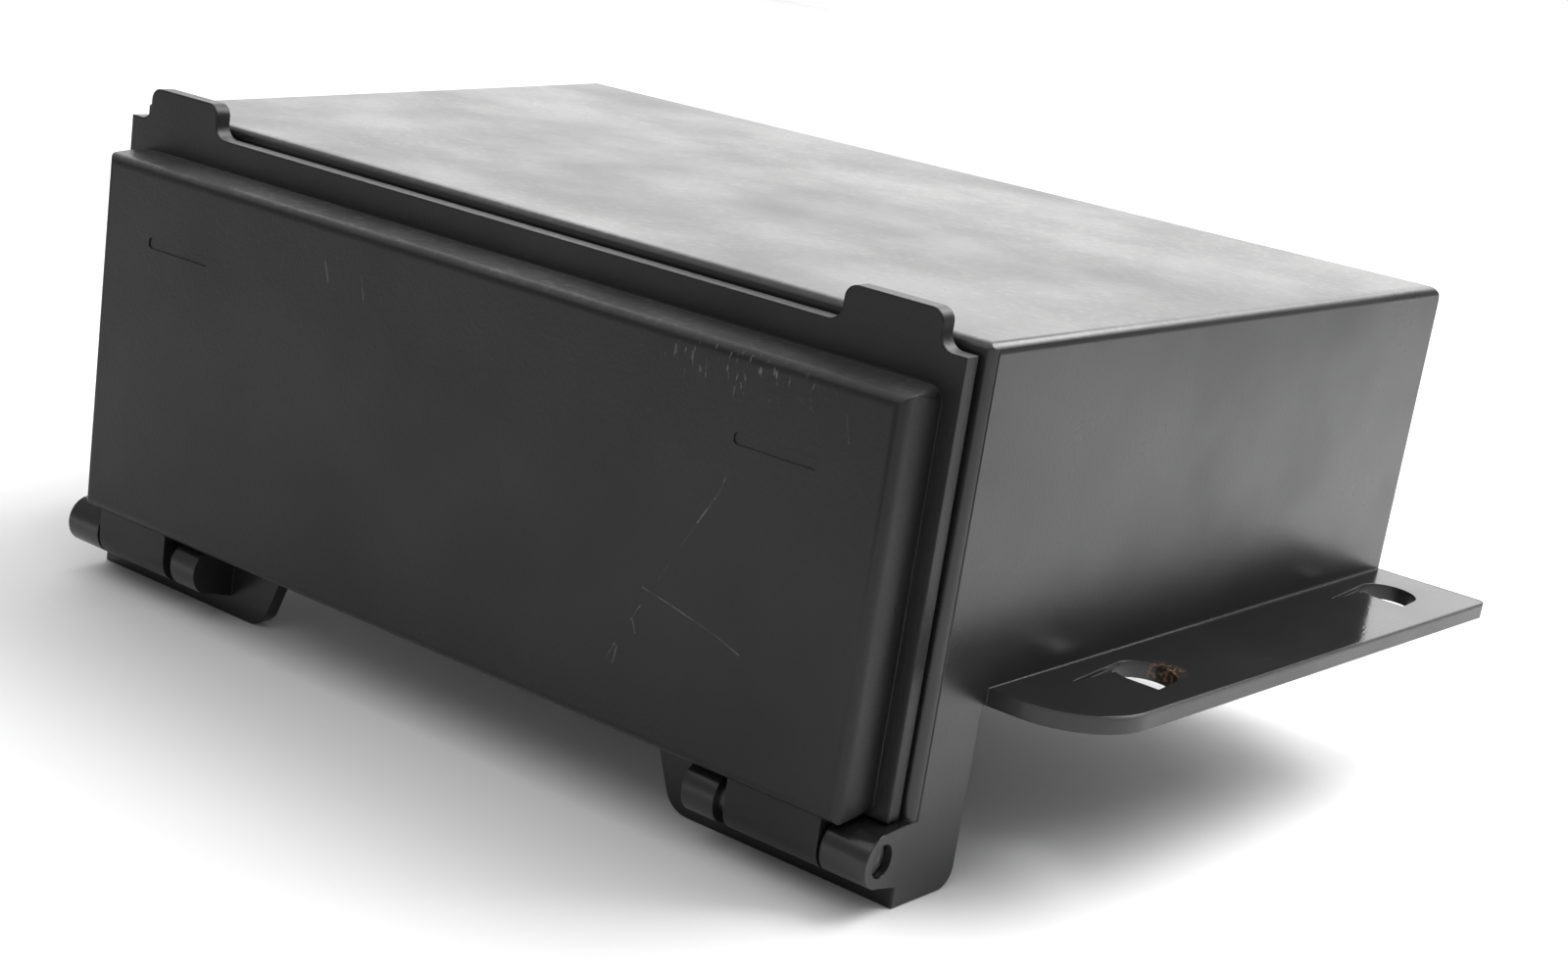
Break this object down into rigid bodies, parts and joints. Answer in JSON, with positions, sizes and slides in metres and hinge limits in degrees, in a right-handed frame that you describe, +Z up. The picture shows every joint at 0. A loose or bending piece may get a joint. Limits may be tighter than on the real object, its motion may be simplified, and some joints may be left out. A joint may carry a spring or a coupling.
{
  "type": "parcel drop box",
  "caption": "Low hood-shaped drop box with a drop-down hinged front door, finger tabs, hanging hinge legs and slotted side mounting plates.",
  "frame": {"origin": "on the underside of the mounting plates and floor panel, on the centre line, halfway between the front and the rear rows of fixing holes", "axes": "+X across the front towards the side that is on the right when the door is faced, +Y from the door to the rear wall, +Z up through the roof"},
  "size_m": [0.413, 0.2562, 0.1516],
  "materials": {
    "housing_plastic": "fine-grained moulding, satin sheen, dusty roof",
    "door_plastic": "fine-grained moulding with handling scratches",
    "panel_plastic": "plain moulded sheet",
    "seal_rubber": "matt foam rubber",
    "pin_steel": "ground rod, dulled",
    "screw_steel": "zinc-plated"
  },
  "bodies": {
    "housing": {"housing": "housing_plastic", "floor_panel": "panel_plastic", "floor_screws": "screw_steel", "mouth_seal": "seal_rubber", "hinge_pin_left": "pin_steel", "hinge_pin_right": "pin_steel"},
    "door": {"door": "door_plastic"}
  },
  "joints": [
    {"name": "door_hinge", "type": "hinge", "parent": "housing", "child": "door", "pos_m": [0, -0.15325, -0.0341], "axis": [1, 0, 0], "range_deg": [0, 145]}
  ]
}
